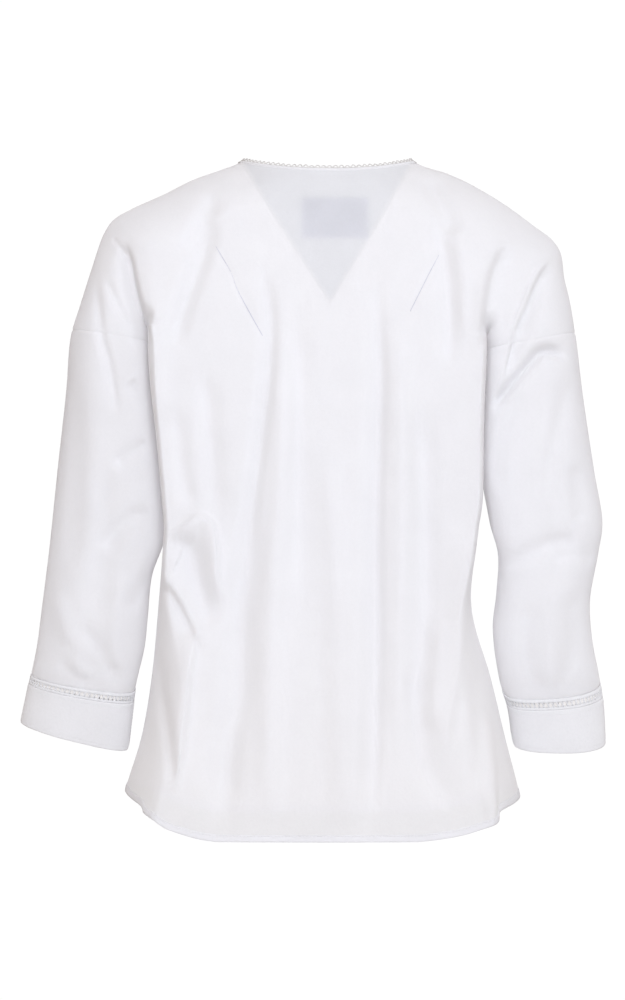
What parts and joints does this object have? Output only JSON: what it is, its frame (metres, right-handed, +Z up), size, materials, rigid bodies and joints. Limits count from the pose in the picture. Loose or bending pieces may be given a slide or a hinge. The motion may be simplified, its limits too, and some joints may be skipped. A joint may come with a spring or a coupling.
{
  "type": "folk blouse",
  "caption": "Loose white cotton folk blouse, filled out as worn: V front, dropped shoulders, seven-eighths sleeves with lace beading and split cuffs, crochet neck edging, curved hem.",
  "frame": {"origin": "middle of the neck opening, level with the points where the shoulder seams meet the neckline", "axes": "+Z up, +Y out of the wearer's back, +X to the wearer's left"},
  "size_m": [0.5587, 0.2529, 0.6373],
  "materials": {
    "back": "plain white cotton",
    "front": "plain white cotton",
    "sleeve_left": "plain white cotton",
    "sleeve_right": "plain white cotton",
    "cuff_left": "plain white cotton",
    "cuff_right": "plain white cotton",
    "neck_binding_back": "plain white cotton",
    "neck_binding_front": "plain white cotton",
    "neck_picot_back": "white crochet cotton",
    "neck_picot_front": "white crochet cotton",
    "cuff_trim_left": "white cotton lace",
    "cuff_trim_right": "white cotton lace",
    "label": "blank woven label"
  },
  "bodies": {
    "root": {"back": "back", "front": "front", "sleeve_left": "sleeve_left", "sleeve_right": "sleeve_right", "cuff_left": "cuff_left", "cuff_right": "cuff_right", "neck_binding_back": "neck_binding_back", "neck_binding_front": "neck_binding_front", "neck_picot_back": "neck_picot_back", "neck_picot_front": "neck_picot_front", "cuff_trim_left": "cuff_trim_left", "cuff_trim_right": "cuff_trim_right", "label": "label"}
  },
  "joints": []
}
